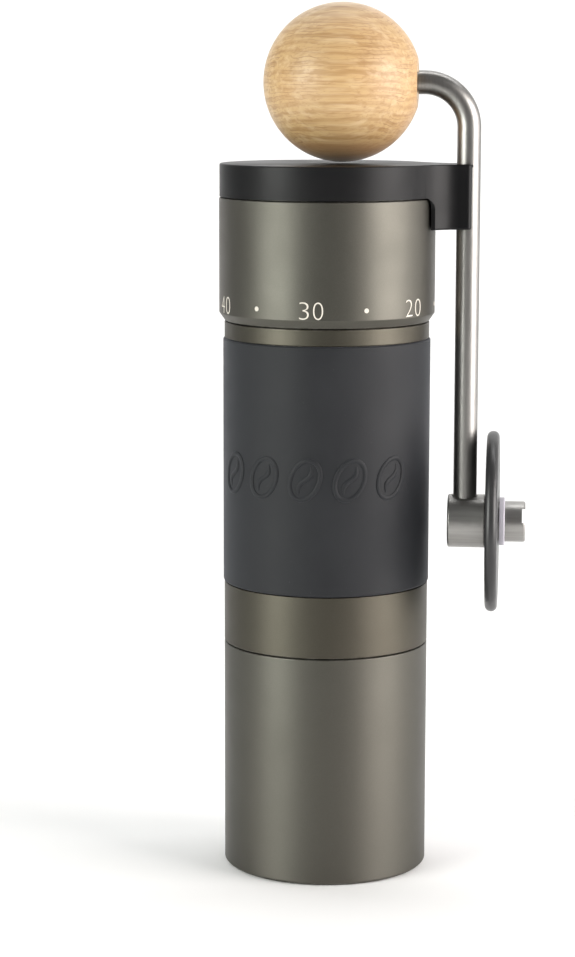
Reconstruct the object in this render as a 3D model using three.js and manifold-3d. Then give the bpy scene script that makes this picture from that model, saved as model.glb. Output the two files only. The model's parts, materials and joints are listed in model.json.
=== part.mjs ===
// Hand crank coffee grinder, parked for storage: the crank hangs upside down in the
// clip of the storage cap and its wooden ball lies on top of the cap.
// Millimetres, +Z up. The origin is on the grinder's axis at the underside of the
// catch cup, and +X points from the axis to the crank's rod.
import * as THREE from 'three';
import { mergeVertices } from 'three/addons/utils/BufferGeometryUtils.js';
import Module from 'manifold-3d';

const wasm = await Module();
wasm.setup();

// ---------------------------------------------------------------- driving dimensions

const CLEARANCE = 0.3;          // gap left between two neighbouring pieces
const PRESS_GAP = 0.15;         // gap left where one piece is pressed into another
const ROUND = 36;               // sides of a large turned surface
const SMALL_ROUND = 20;         // sides of a shaft, hub or bearing
const BURR_LINES = 48;          // lines round a burr, two for each fine tooth
const FULL_TURN = 2 * Math.PI;

const BODY_R = 26.25;           // catch cup and lower body
const NECK_R = 26.15;           // band between the sleeve and the dial
const SLEEVE_R = 26.5;
const DIAL_R = 27.5;
const CAP_R = 27.4;

const SEAM_Z = 58.7;            // between catch cup and body
const SPIGOT_BOTTOM_Z = 50.5;   // spigot that the catch cup slides over
const SPIGOT_R = 24.7;
const CUP_SEAL_Z = 56.6;
const CUP_SEAL_GROOVE_R = 24.05;
const SEAL_GROOVE_HALF = 0.7;   // half the height of a seal ring's groove
const SLEEVE_BOTTOM_Z = 74.4;
const SLEEVE_TOP_Z = 137.5;
const SLEEVE_SEAT_R = 25.1;
const DIAL_BOTTOM_Z = 141.9;
const DIAL_SHOULDER_Z = 172.9;  // top of the dial's gripping surface
const DIAL_TOP_Z = 178.6;       // top of the rim inside the cap
const CAP_BOTTOM_Z = 173.2;
const CAP_TOP_Z = 181.5;
const CAP_SKIRT_R = 25.8;       // inside of the cap's wall
const CAP_SEAL_Z = 176.0;
const ARM_BOTTOM_Z = 165.2;
const CAP_EDGE = 0.4;           // rounding of the cap's top edge

const HOPPER_R = 23.1;          // bore that holds the beans
const HOPPER_TOP_Z = 145.0;     // where the bore starts to narrow
const MOUTH_R = 20.4;           // narrower bore at the hopper's mouth
const MOUTH_BOTTOM_Z = 150.0;
const NECK_TUBE_R = 24.6;       // tube that the dial turns on
const NECK_TOP_Z = 158.0;
const DIAL_BORE_R = 25.0;
const THREAD_R = 24.3;          // dial's inner thread, drawn as a plain bore
const THREAD_BOTTOM_Z = 159.0;
const DIAL_RIM_R = 25.5;        // outside of the rim that the cap closes on
const BURR_SEAT_R = 23.2;
const BURR_TOP_Z = 83.1;
const BURR_BOTTOM_Z = 63.3;
const LEDGE_Z = 87.0;           // ledge that the lower bracket stands on
const THROAT_R = 21.6;          // bore between the ledge and the burrs

const SNAP_RING_Z = 150.8;      // ring that keeps the dial on the neck
const SNAP_RING_THICKNESS = 1.2;
const SNAP_GROOVE_HALF = 0.85;  // half the height of the snap ring's grooves
const SNAP_GROOVE_INNER_R = 23.9;
const SNAP_GROOVE_OUTER_R = 25.9;
const DETENT_Z = 154.9;
const DETENT_BALL_R = 1.1;
const DETENT_BORE_R = 1.25;
const DETENT_BALL_CENTRE_R = 23.95;
const DETENT_BORE_START_R = 21.0;
const DETENT_GROOVE_R = 25.4;
const GUIDE_PIN_CIRCLE_R = 22.2;
const GUIDE_PIN_R = 1.1;
const GUIDE_PIN_BOTTOM_Z = 150.9;
const GUIDE_PIN_TOP_Z = 169.8;
const ARM_COUNT = 3;            // arms of each bearing holder, and guide pins
const ARM_WIDTH = 4.0;

const SHAFT_R = 3.95;
const BEARING_BORE_R = 4.05;    // 8 x 16 x 5 mm ball bearings
const BEARING_R = 8.0;
const BEARING_WIDTH = 5.0;
const LOWER_BEARING_Z = 88.2;
const UPPER_BEARING_Z = 161.7;
const SHAFT_BOTTOM_Z = 56.5;
const SHAFT_TOP_Z = 176.0;
const HEX_ACROSS_FLATS = 7.0;
const SOCKET_ACROSS_FLATS = 7.2;
const SPRING_BOTTOM_Z = 94.6;
const SPRING_COLLAR_Z = 107.5;
const SPRING_MEAN_R = 6.0;
const SPRING_WIRE_R = 0.6;
const SPRING_TURNS = 5.5;

const ROD_R = 3.0;
const ROD_X = 35.74;            // axis of the rod's upright leg
const ROD_BOTTOM_Z = 87.6;
const BEND_R = 11.25;
const KNOB_Z = 201.8;           // axis of the rod's level leg and of the ball
const KNOB_X = 3.74;            // centre of the ball
const KNOB_R = 20.0;
const KNOB_FLAT = 19.0;         // distance from the ball's centre to its flat
const KNOB_PIN_R = 2.5;
const HUB_Z = 90.3;
const HUB_R = 6.85;
const HUB_LEFT_X = 31.4;
const HUB_SHOULDER_X = 41.0;
const STEM_R = 5.2;
const STEM_END_X = 51.3;
const LID_R = 23.25;
const COLLAR_R = 6.175;
const CLIP_SLOT_R = 3.25;
const CLIP_HALF_WIDTH = 5.5;
const CLIP_END_X = 36.7;
const ARM_ROOT_DEG = 30;        // where the arm leaves the cap's round wall
const ARM_LEAD = 5.0;           // how far the arm follows the wall's tangent
const ARM_HALF_WIDTH = 8.6;     // of the part that hangs down beside the dial

// ------------------------------------------------------------------------- materials

function material(color, roughness, metalness) {
  return new THREE.MeshStandardMaterial({ color, roughness, metalness });
}

const anodisedMetal = () => material(0x7d7c6e, 0.42, 1.0);
const steel = () => material(0x9a9a96, 0.3, 1.0);
const burrSteel = () => material(0x8a8a88, 0.35, 1.0);
const blackPlastic = () => material(0x35353a, 0.45, 0.0);
const greyPlastic = () => material(0x4a4a4c, 0.4, 0.0);
const palePlastic = () => material(0xb9b2bd, 0.5, 0.0);
const silicone = () => material(0x43454c, 0.85, 0.0);
const beech = () => material(0xd6ab78, 0.5, 0.0);
const brass = () => material(0xb08d4a, 0.35, 1.0);

// ------------------------------------------------------------------- shape helpers

// Turns a profile of [radius, height] points about the Z axis. The profile runs up
// the outside and down the inside; one that leaves the axis open closes on itself.
function lathe(profile, sides = ROUND) {
  const endsOnAxis = profile[0][0] === 0 && profile.at(-1)[0] === 0;
  const loop = endsOnAxis ? profile : [...profile, profile[0]];
  const points = loop.map(([r, z]) => new THREE.Vector2(r, z));
  return new THREE.LatheGeometry(points, sides).rotateX(Math.PI / 2);
}

function ring(inner, outer, bottom, top, sides = SMALL_ROUND) {
  return lathe([[inner, bottom], [outer, bottom], [outer, top], [inner, top]], sides);
}

function rod(radius, bottom, top, sides = SMALL_ROUND) {
  return lathe([[0, bottom], [radius, bottom], [radius, top], [0, top]], sides);
}

// Points [radius, height] of an arc, angles in degrees from the outward direction.
function arc(centreR, centreZ, radius, fromDeg, toDeg, steps) {
  const points = [];
  for (let i = 0; i <= steps; i += 1) {
    const angle = THREE.MathUtils.degToRad(fromDeg + ((toDeg - fromDeg) * i) / steps);
    points.push([centreR + radius * Math.cos(angle), centreZ + radius * Math.sin(angle)]);
  }
  return points;
}

// Ring of round section, such as an O-ring.
function roundRing(meanR, z, sectionR) {
  return lathe(arc(meanR, z, sectionR, -180, 120, 5));
}

// Flat open ring with a gap on its +X side, such as a snap ring.
function openRing(inner, outer, gapDeg, bottom, thickness) {
  const half = THREE.MathUtils.degToRad(gapDeg / 2);
  const shape = new THREE.Shape();
  shape.absarc(0, 0, outer, half, FULL_TURN - half, false);
  shape.absarc(0, 0, inner, FULL_TURN - half, half, true);
  return extrude(shape, bottom, bottom + thickness, SMALL_ROUND);
}

function extrude(shape, bottom, top, curveSegments = 8) {
  const options = { depth: top - bottom, bevelEnabled: false, steps: 1, curveSegments };
  return new THREE.ExtrudeGeometry(shape, options).translate(0, 0, bottom);
}

// Upright hexagonal prism.
function hexPrism(acrossFlats, bottom, top) {
  const cornerR = acrossFlats / 2 / Math.cos(Math.PI / 6);
  const prism = new THREE.CylinderGeometry(cornerR, cornerR, top - bottom, 6);
  return prism.rotateX(Math.PI / 2).translate(0, 0, (bottom + top) / 2);
}

function box(xMin, xMax, yMin, yMax, zMin, zMax) {
  const block = new THREE.BoxGeometry(xMax - xMin, yMax - yMin, zMax - zMin);
  return block.translate((xMin + xMax) / 2, (yMin + yMax) / 2, (zMin + zMax) / 2);
}

// Round bar along a helix about the Z axis.
class Helix extends THREE.Curve {
  constructor(radius, bottom, top, turns) {
    super();
    Object.assign(this, { radius, bottom, top, turns });
  }

  getPoint(t, target = new THREE.Vector3()) {
    const angle = t * this.turns * FULL_TURN;
    const z = this.bottom + t * (this.top - this.bottom);
    return target.set(this.radius * Math.cos(angle), this.radius * Math.sin(angle), z);
  }
}

function coilSpring(meanR, wireR, bottom, top, turns, stepsPerTurn, wireSides) {
  const section = new THREE.Shape();
  for (let i = 0; i < wireSides; i += 1) {
    const angle = (i / wireSides) * FULL_TURN;
    const point = [wireR * Math.cos(angle), wireR * Math.sin(angle)];
    if (i === 0) section.moveTo(...point);
    else section.lineTo(...point);
  }
  const path = new Helix(meanR, bottom + wireR, top - wireR, turns);
  const steps = Math.round(turns * stepsPerTurn);
  return new THREE.ExtrudeGeometry(section, { steps, extrudePath: path, curveSegments: 1 });
}

// ----------------------------------------------------------------- joining and cutting

function manifoldOf(geometry) {
  const bare = geometry.clone();
  bare.deleteAttribute('normal');
  bare.deleteAttribute('uv');
  const merged = mergeVertices(bare, 1e-4);
  const corners = merged.index.array;
  const kept = [];
  for (let i = 0; i < corners.length; i += 3) {
    const [a, b, c] = [corners[i], corners[i + 1], corners[i + 2]];
    if (a !== b && b !== c && c !== a) kept.push(a, b, c);
  }
  const vertProperties = merged.attributes.position.array;
  return new wasm.Manifold(
    new wasm.Mesh({ numProp: 3, vertProperties, triVerts: Uint32Array.from(kept) }),
  );
}

function geometryOf(solid) {
  const { vertProperties, triVerts } = solid.getMesh();
  const geometry = new THREE.BufferGeometry();
  geometry.setAttribute('position', new THREE.BufferAttribute(vertProperties, 3));
  geometry.setIndex(new THREE.BufferAttribute(triVerts, 1));
  geometry.computeVertexNormals();
  return geometry;
}

// First geometry, with the added ones joined on and then the cut ones taken away.
function shaped(base, added, cut) {
  let solid = manifoldOf(base);
  for (const geometry of added) solid = solid.add(manifoldOf(geometry));
  for (const geometry of cut) solid = solid.subtract(manifoldOf(geometry));
  return geometryOf(solid);
}

function named(name, geometry, finish) {
  const mesh = new THREE.Mesh(geometry, finish);
  mesh.name = name;
  return mesh;
}

// Angle of the i-th of the three arms and guide pins.
const armAngle = (i) => Math.PI / 6 + (i * FULL_TURN) / ARM_COUNT;

function onCircle(geometry, radius, angle) {
  return geometry.translate(radius * Math.cos(angle), radius * Math.sin(angle), 0);
}

// ------------------------------------------------------------------------- main body

function guidePinHoles(radius, bottom, top) {
  const holes = [];
  for (let i = 0; i < ARM_COUNT; i += 1) {
    holes.push(onCircle(rod(radius, bottom, top, 12), GUIDE_PIN_CIRCLE_R, armAngle(i)));
  }
  return holes;
}

// Upright piece built about the Z axis, laid down to point outwards at the detents'
// height. Side 1 is +X and side -1 is -X.
function detentSide(geometry, side) {
  return geometry.rotateY((side * Math.PI) / 2).translate(0, 0, DETENT_Z);
}

// Four profile points of a square groove in a wall, from one height to another.
function groove(wallR, grooveR, [fromZ, toZ]) {
  return [[wallR, fromZ], [grooveR, fromZ], [grooveR, toZ], [wallR, toZ]];
}

function bodyShell() {
  const sealZ = [CUP_SEAL_Z - SEAL_GROOVE_HALF, CUP_SEAL_Z + SEAL_GROOVE_HALF];
  const snapZ = [SNAP_RING_Z - SNAP_GROOVE_HALF, SNAP_RING_Z + SNAP_GROOVE_HALF];
  const shell = lathe([
    [BURR_SEAT_R, SPIGOT_BOTTOM_Z], [SPIGOT_R - 0.3, SPIGOT_BOTTOM_Z],
    [SPIGOT_R, SPIGOT_BOTTOM_Z + 0.3], ...groove(SPIGOT_R, CUP_SEAL_GROOVE_R, sealZ),
    [SPIGOT_R, SEAM_Z + PRESS_GAP], [BODY_R - 0.25, SEAM_Z + PRESS_GAP],
    [BODY_R, SEAM_Z + 0.4], [BODY_R, SLEEVE_BOTTOM_Z], [SLEEVE_SEAT_R, SLEEVE_BOTTOM_Z],
    [SLEEVE_SEAT_R, SLEEVE_TOP_Z], [NECK_R, SLEEVE_TOP_Z],
    [NECK_R, DIAL_BOTTOM_Z - CLEARANCE], [NECK_TUBE_R, DIAL_BOTTOM_Z - CLEARANCE],
    ...groove(NECK_TUBE_R, SNAP_GROOVE_INNER_R, snapZ), [NECK_TUBE_R, NECK_TOP_Z],
    [MOUTH_R, NECK_TOP_Z], [MOUTH_R, MOUTH_BOTTOM_Z], [HOPPER_R, HOPPER_TOP_Z],
    [HOPPER_R, LEDGE_Z], [THROAT_R, LEDGE_Z], [THROAT_R, BURR_TOP_Z + 0.2],
    [BURR_SEAT_R, BURR_TOP_Z + 0.2],
  ]);
  const cuts = guidePinHoles(GUIDE_PIN_R + PRESS_GAP, GUIDE_PIN_BOTTOM_Z - 0.2, NECK_TOP_Z + 1);
  for (const side of [1, -1]) {
    const bore = rod(DETENT_BORE_R, DETENT_BORE_START_R, NECK_TUBE_R + 1, 12);
    cuts.push(detentSide(bore, side));
  }
  return named('body_shell', shaped(shell, [], cuts), anodisedMetal());
}

function gripSleeve() {
  const [bottom, top] = [SLEEVE_BOTTOM_Z + 0.2, SLEEVE_TOP_Z - 0.2];
  const insideR = SLEEVE_SEAT_R + 0.25;
  const edge = 0.3;
  const sleeve = lathe([
    [insideR, bottom], [SLEEVE_R - edge, bottom], [SLEEVE_R, bottom + edge],
    [SLEEVE_R, top - edge], [SLEEVE_R - edge, top], [insideR, top],
  ]);
  return named('grip_sleeve', sleeve, silicone());
}

// Moves every second line of a turned surface outwards by depth(radius, height), or
// inwards where that is negative, which leaves a ring of pointed teeth.
function cutTeeth(geometry, depth) {
  const position = geometry.attributes.position;
  const lineAngle = FULL_TURN / BURR_LINES;
  for (let i = 0; i < position.count; i += 1) {
    const [x, y, z] = [position.getX(i), position.getY(i), position.getZ(i)];
    const r = Math.hypot(x, y);
    const line = Math.round(Math.atan2(y, x) / lineAngle);
    const grown = r + (line % 2 === 0 ? 0 : depth(r, z));
    if (r > 0) position.setXYZ(i, (x * grown) / r, (y * grown) / r, z);
  }
  return geometry;
}

function outerBurr() {
  const burr = lathe([
    [20.1, BURR_BOTTOM_Z], [23.0, BURR_BOTTOM_Z], [23.0, BURR_TOP_Z], [17.6, BURR_TOP_Z],
    [16.2, 77.5], [16.1, 71.5],
  ], BURR_LINES);
  const grooved = cutTeeth(burr, (r) => (r < 22 ? 0.5 : 0));
  return named('outer_burr', grooved, burrSteel());
}

function burrClampRing() {
  return named('burr_clamp_ring', ring(20.8, 22.95, 60.0, 63.0, ROUND), steel());
}

function cupSealRing() {
  return named('cup_seal_ring', roundRing(24.5, CUP_SEAL_Z, 0.35), silicone());
}

// Three-armed holder for a bearing: an outer ring, a hub with a lip under the
// bearing, and the arms between them.
function bearingHolder({ ringInner, ringOuter, ringBottom, ringTop, hub, cuts }) {
  const rim = ring(ringInner, ringOuter, ringBottom, ringTop, ROUND);
  const added = [lathe(hub, SMALL_ROUND)];
  for (let i = 0; i < ARM_COUNT; i += 1) {
    const arm = box(9.0, ringInner + 0.8, -ARM_WIDTH / 2, ARM_WIDTH / 2, ringBottom, ringTop);
    added.push(arm.rotateZ(armAngle(i)));
  }
  return shaped(rim, added, cuts);
}

function lowerBearingBracket() {
  const bottom = LEDGE_Z + CLEARANCE;
  const seatZ = LOWER_BEARING_Z - CLEARANCE;
  const geometry = bearingHolder({
    ringInner: 20.9,
    ringOuter: HOPPER_R - 0.25,
    ringBottom: bottom,
    ringTop: bottom + 5,
    hub: [
      [6.3, bottom], [10.5, bottom], [10.5, 93.9], [BEARING_R + PRESS_GAP, 93.9],
      [BEARING_R + PRESS_GAP, seatZ], [6.3, seatZ],
    ],
    cuts: [],
  });
  return named('lower_bearing_bracket', geometry, steel());
}

function bearing(name, bottom) {
  const top = bottom + BEARING_WIDTH;
  const profile = [
    [BEARING_BORE_R, bottom], [BEARING_R, bottom], [BEARING_R, top], [6.9, top],
    [6.9, top - 0.4], [5.2, top - 0.4], [5.2, top], [BEARING_BORE_R, top],
  ];
  return named(name, lathe(profile, SMALL_ROUND), steel());
}

function springWasher() {
  return named('spring_washer', ring(4.3, 7.4, 93.5, 94.3), steel());
}

function dialRetainingRing() {
  const bottom = SNAP_RING_Z - SNAP_RING_THICKNESS / 2;
  const clip = openRing(24.15, 25.65, 20, bottom, SNAP_RING_THICKNESS);
  return named('dial_retaining_ring', clip, steel());
}

function guidePin(i) {
  const pin = lathe([
    [0, GUIDE_PIN_BOTTOM_Z], [GUIDE_PIN_R, GUIDE_PIN_BOTTOM_Z],
    [GUIDE_PIN_R, GUIDE_PIN_TOP_Z - 0.4], [GUIDE_PIN_R - 0.4, GUIDE_PIN_TOP_Z],
    [0, GUIDE_PIN_TOP_Z],
  ], 12);
  return named(`carrier_guide_pin_${i + 1}`, onCircle(pin, GUIDE_PIN_CIRCLE_R, armAngle(i)), steel());
}

function detentBall(i, side) {
  const ball = new THREE.SphereGeometry(DETENT_BALL_R, 10, 6);
  ball.translate(side * DETENT_BALL_CENTRE_R, 0, DETENT_Z);
  return named(`detent_ball_${i + 1}`, ball, steel());
}

function detentSpring(i, side) {
  const spring = coilSpring(0.8, 0.13, 21.15, 22.7, 3, 6, 4);
  return named(`detent_spring_${i + 1}`, detentSide(spring, side), steel());
}

// ----------------------------------------------------------- dial and bearing carrier

function adjustmentDial() {
  const snapZ = [SNAP_RING_Z + SNAP_GROOVE_HALF, SNAP_RING_Z - SNAP_GROOVE_HALF];
  const dial = lathe([
    [DIAL_BORE_R, DIAL_BOTTOM_Z], [DIAL_R - 1.4, DIAL_BOTTOM_Z], [DIAL_R, DIAL_BOTTOM_Z + 2],
    [DIAL_R, DIAL_SHOULDER_Z - 0.3], [DIAL_R - 0.3, DIAL_SHOULDER_Z],
    [DIAL_RIM_R, DIAL_SHOULDER_Z], [DIAL_RIM_R, DIAL_TOP_Z - 0.3],
    [DIAL_RIM_R - 0.3, DIAL_TOP_Z], [THREAD_R + 0.2, DIAL_TOP_Z],
    [THREAD_R, DIAL_TOP_Z - 0.2], [THREAD_R, THREAD_BOTTOM_Z],
    [DIAL_BORE_R, THREAD_BOTTOM_Z - 0.3], [DIAL_BORE_R, DETENT_Z + 1.3],
    [DETENT_GROOVE_R, DETENT_Z + 0.7], [DETENT_GROOVE_R, DETENT_Z - 0.7],
    [DIAL_BORE_R, DETENT_Z - 1.3], ...groove(DIAL_BORE_R, SNAP_GROOVE_OUTER_R, snapZ),
  ]);
  return named('adjustment_dial', dial, anodisedMetal());
}

function bearingCarrier() {
  const seatZ = UPPER_BEARING_Z - CLEARANCE;
  const boreR = BEARING_R + PRESS_GAP;
  const geometry = bearingHolder({
    ringInner: 20.3,
    ringOuter: THREAD_R - CLEARANCE,
    ringBottom: 161.0,
    ringTop: 168.0,
    hub: [
      [6.5, 160.5], [10.0, 160.5], [10.0, 168.8], [boreR, 168.8], [boreR, 167.95],
      [8.7, 167.95], [8.7, 166.95], [boreR, 166.95], [boreR, seatZ], [6.5, seatZ],
    ],
    cuts: guidePinHoles(GUIDE_PIN_R + CLEARANCE, 160, 169),
  });
  return named('bearing_carrier', geometry, steel());
}

function bearingCirclip() {
  return named('bearing_circlip', openRing(6.6, 8.55, 40, 167.1, 0.7), steel());
}

// ------------------------------------------------------------------------ drive shaft

function driveShaft() {
  const hexZ = 170.0;
  const collarR = 7.2;
  const shoulderR = 5.6;
  const shaft = lathe([
    [0, SHAFT_BOTTOM_Z], [SHAFT_R - 0.5, SHAFT_BOTTOM_Z], [SHAFT_R, SHAFT_BOTTOM_Z + 0.5],
    [SHAFT_R, SPRING_COLLAR_Z], [collarR, SPRING_COLLAR_Z], [collarR, SPRING_COLLAR_Z + 2],
    [SHAFT_R, SPRING_COLLAR_Z + 2], [SHAFT_R, 158.4], [shoulderR, 158.4],
    [shoulderR, UPPER_BEARING_Z - CLEARANCE], [SHAFT_R, UPPER_BEARING_Z - CLEARANCE],
    [SHAFT_R, hexZ], [0, hexZ],
  ], SMALL_ROUND);
  const hexTop = hexPrism(HEX_ACROSS_FLATS, hexZ - 1, SHAFT_TOP_Z);
  return named('drive_shaft', shaped(shaft, [hexTop], []), steel());
}

// Cone with seven coarse helical lobes at its narrow top and fine teeth at its skirt.
function innerBurr() {
  const [bottom, top] = [62.6, 84.5];
  const lobes = 7;
  const twistPerMm = 0.045;
  const cone = lathe([
    [0, bottom], [19.0, bottom], [19.0, BURR_BOTTOM_Z + 0.3], [17.3, 67.2],
    [15.1, 71.2], [12.9, 74.6], [10.6, 78.0], [8.4, 81.3], [6.6, top], [0, top],
  ], BURR_LINES);
  cutTeeth(cone, (r, z) => -0.45 * THREE.MathUtils.clamp((75 - z) / 4, 0, 1));
  const position = cone.attributes.position;
  for (let i = 0; i < position.count; i += 1) {
    const [x, y, z] = [position.getX(i), position.getY(i), position.getZ(i)];
    const r = Math.hypot(x, y);
    const angle = Math.atan2(y, x);
    const lobeDepth = 1.3 * THREE.MathUtils.clamp((z - 68) / 6, 0, 1);
    const lobed = Math.max(r - (lobeDepth * (1 - Math.cos(lobes * angle))) / 2, 0);
    const turned = angle + twistPerMm * (z - bottom);
    position.setXYZ(i, lobed * Math.cos(turned), lobed * Math.sin(turned), z);
  }
  const bore = rod(4.15, bottom - 1, top + 1);
  return named('inner_burr', shaped(cone, [], [bore]), burrSteel());
}

function burrWasher() {
  return named('burr_washer', ring(4.2, 8.0, 61.3, 62.3), steel());
}

function burrNut() {
  const nut = shaped(hexPrism(13.0, 57.4, 61.0), [], [rod(4.2, 57, 62)]);
  return named('burr_nut', nut, steel());
}

function preloadSpring() {
  const top = SPRING_COLLAR_Z - CLEARANCE;
  const spring = coilSpring(SPRING_MEAN_R, SPRING_WIRE_R, SPRING_BOTTOM_Z, top, SPRING_TURNS, 8, 5);
  return named('preload_spring', spring, steel());
}

// ------------------------------------------------------------------------ storage cap

// Outline of the cap's arm seen from above: it leaves the cap's round wall along the
// wall's tangent, narrows in two hollow curves and ends in the clip's two fingers.
function armOutline() {
  const lipR = (CLIP_HALF_WIDTH - CLIP_SLOT_R) / 2;
  const lipY = CLIP_SLOT_R + lipR;
  const lipX = CLIP_END_X - lipR;
  const rootAngle = THREE.MathUtils.degToRad(ARM_ROOT_DEG);
  const [rootX, rootY] = [CAP_R * Math.cos(rootAngle), CAP_R * Math.sin(rootAngle)];
  const leadX = rootX + ARM_LEAD * Math.sin(rootAngle);
  const leadY = rootY - ARM_LEAD * Math.cos(rootAngle);
  const outline = new THREE.Shape();
  outline.moveTo(15, -rootY);
  outline.lineTo(rootX, -rootY);
  outline.bezierCurveTo(leadX, -leadY, 29.0, -CLIP_HALF_WIDTH - 0.4, 33.5, -CLIP_HALF_WIDTH);
  outline.lineTo(lipX, -CLIP_HALF_WIDTH);
  outline.absarc(lipX, -lipY, lipR, -Math.PI / 2, Math.PI / 2, false);
  outline.lineTo(ROD_X, -CLIP_SLOT_R);
  outline.absarc(ROD_X, 0, CLIP_SLOT_R, -Math.PI / 2, Math.PI / 2, true);
  outline.lineTo(lipX, CLIP_SLOT_R);
  outline.absarc(lipX, lipY, lipR, -Math.PI / 2, Math.PI / 2, false);
  outline.lineTo(33.5, CLIP_HALF_WIDTH);
  outline.bezierCurveTo(29.0, CLIP_HALF_WIDTH + 0.4, leadX, leadY, rootX, rootY);
  outline.lineTo(15, rootY);
  return outline;
}

function storageCap() {
  const ceilingZ = 179.3;
  const lid = lathe([
    [0, ceilingZ], [CAP_SKIRT_R, ceilingZ], [CAP_SKIRT_R, CAP_BOTTOM_Z],
    [CAP_R, CAP_BOTTOM_Z],
    [CAP_R, CAP_TOP_Z - CAP_EDGE], [CAP_R - CAP_EDGE, CAP_TOP_Z], [0, CAP_TOP_Z],
  ]);
  const arm = extrude(armOutline(), ARM_BOTTOM_Z, CAP_TOP_Z, 6);
  const dialRoom = rod(DIAL_R + 0.35, ARM_BOTTOM_Z - 1, CAP_BOTTOM_Z, ROUND);
  const rimRoom = rod(CAP_SKIRT_R, CAP_BOTTOM_Z - 1, ceilingZ, ROUND);
  const grooveBottom = CAP_SEAL_Z - SEAL_GROOVE_HALF;
  const grooveTop = CAP_SEAL_Z + SEAL_GROOVE_HALF;
  const sealGroove = ring(CAP_SKIRT_R - 1, CAP_SKIRT_R + 0.8, grooveBottom, grooveTop, ROUND);
  const cuts = [dialRoom, rimRoom, sealGroove];
  for (const [yMin, yMax] of [[-20, -ARM_HALF_WIDTH], [ARM_HALF_WIDTH, 20]]) {
    cuts.push(box(15, 40, yMin, yMax, ARM_BOTTOM_Z - 1, CAP_BOTTOM_Z));
  }
  return named('storage_cap', shaped(lid, [arm], cuts), blackPlastic());
}

function capSealRing() {
  return named('cap_seal_ring', roundRing(26.06, CAP_SEAL_Z, 0.4), silicone());
}

// ------------------------------------------------------------------------------ crank

// Turned straight with its pin and groove for the ball, then bent: length is measured
// along the rod from the world's Z = 0, and the bend turns from +Z to -X.
function crankRod() {
  const bendStart = KNOB_Z - BEND_R;
  const bendLength = (BEND_R * Math.PI) / 2;
  const levelStart = bendStart + bendLength;
  const along = (x) => levelStart + (ROD_X - BEND_R - x);
  const bendSteps = 10;
  const bendRows = [];
  for (let i = 0; i <= bendSteps; i += 1) {
    bendRows.push([ROD_R, bendStart + (bendLength * i) / bendSteps]);
  }
  const straight = lathe([
    [0, ROD_BOTTOM_Z], [ROD_R - 0.4, ROD_BOTTOM_Z], [ROD_R, ROD_BOTTOM_Z + 0.4],
    ...bendRows, [ROD_R, along(23.0)], [KNOB_PIN_R, along(23.0)], [KNOB_PIN_R, along(-3.0)],
    [2.05, along(-3.0)], [2.05, along(-4.2)], [KNOB_PIN_R, along(-4.2)],
    [KNOB_PIN_R, along(-5.2)], [2.1, along(-5.6)], [0, along(-5.6)],
  ], 16);
  const position = straight.attributes.position;
  for (let i = 0; i < position.count; i += 1) {
    const [x, y, length] = [position.getX(i), position.getY(i), position.getZ(i)];
    const turn = THREE.MathUtils.clamp((length - bendStart) / BEND_R, 0, Math.PI / 2);
    const before = Math.min(length, bendStart);
    const after = Math.max(length - levelStart, 0);
    const bentX = -BEND_R + (BEND_R + x) * Math.cos(turn) - after;
    position.setXYZ(i, bentX, y, before + (BEND_R + x) * Math.sin(turn));
  }
  straight.computeVertexNormals();
  const mesh = named('crank_rod', straight, steel());
  mesh.position.x = ROD_X;
  return mesh;
}

// A piece turned about the Z axis, laid along +X on the hub's axis.
function onHubAxis(mesh) {
  mesh.rotation.y = Math.PI / 2;
  mesh.position.z = HUB_Z;
  return mesh;
}

function crankHub() {
  const turned = lathe([
    [0, HUB_LEFT_X], [HUB_R - 0.5, HUB_LEFT_X], [HUB_R, HUB_LEFT_X + 0.5],
    [HUB_R, HUB_SHOULDER_X], [STEM_R, HUB_SHOULDER_X], [STEM_R, STEM_END_X - 0.5],
    [STEM_R - 0.5, STEM_END_X], [0, STEM_END_X],
  ], 24);
  const socket = hexPrism(SOCKET_ACROSS_FLATS, 40.3, STEM_END_X + 1);
  const rodHole = rod(ROD_R + PRESS_GAP, ROD_BOTTOM_Z - CLEARANCE - HUB_Z, HUB_R + 1);
  rodHole.rotateY(-Math.PI / 2).translate(0, 0, ROD_X);
  return onHubAxis(named('crank_hub', shaped(turned, [], [socket, rodHole]), steel()));
}

function lidDisc() {
  const [left, right] = [41.3, 44.4];
  const rimR = (right - left) / 2;
  const rim = arc(LID_R - rimR, (left + right) / 2, rimR, -90, 90, 5);
  const disc = lathe([[STEM_R + CLEARANCE, left], ...rim, [STEM_R + CLEARANCE, right]]);
  return onHubAxis(named('lid_disc', disc, greyPlastic()));
}

function lidCollar() {
  const collar = lathe([
    [STEM_R + PRESS_GAP, 44.65], [COLLAR_R, 44.65], [COLLAR_R, 45.7], [COLLAR_R - 0.4, 46.1],
    [STEM_R + PRESS_GAP, 46.1],
  ], SMALL_ROUND);
  return onHubAxis(named('lid_collar', collar, palePlastic()));
}

// A piece turned about the Z axis, laid along +X with its origin at the ball's centre.
function onKnobAxis(mesh) {
  mesh.rotation.y = Math.PI / 2;
  mesh.position.set(KNOB_X, 0, KNOB_Z);
  return mesh;
}

function knobBall() {
  const boreR = 4.7;
  const boreEnd = -11.5;
  const flatR = Math.sqrt(KNOB_R ** 2 - KNOB_FLAT ** 2);
  const flatAngle = THREE.MathUtils.radToDeg(Math.atan2(KNOB_FLAT, flatR));
  const outside = arc(0, 0, KNOB_R, -90, flatAngle, 13);
  outside[0] = [0, -KNOB_R];
  const ball = lathe([...outside, [boreR, KNOB_FLAT], [boreR, boreEnd], [0, boreEnd]], 28);
  return onKnobAxis(named('knob_ball', ball, beech()));
}

function knobBush() {
  const bush = ring(KNOB_PIN_R + 0.1, 4.55, -6.3, KNOB_FLAT - 0.1);
  return onKnobAxis(named('knob_bush', bush, brass()));
}

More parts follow.
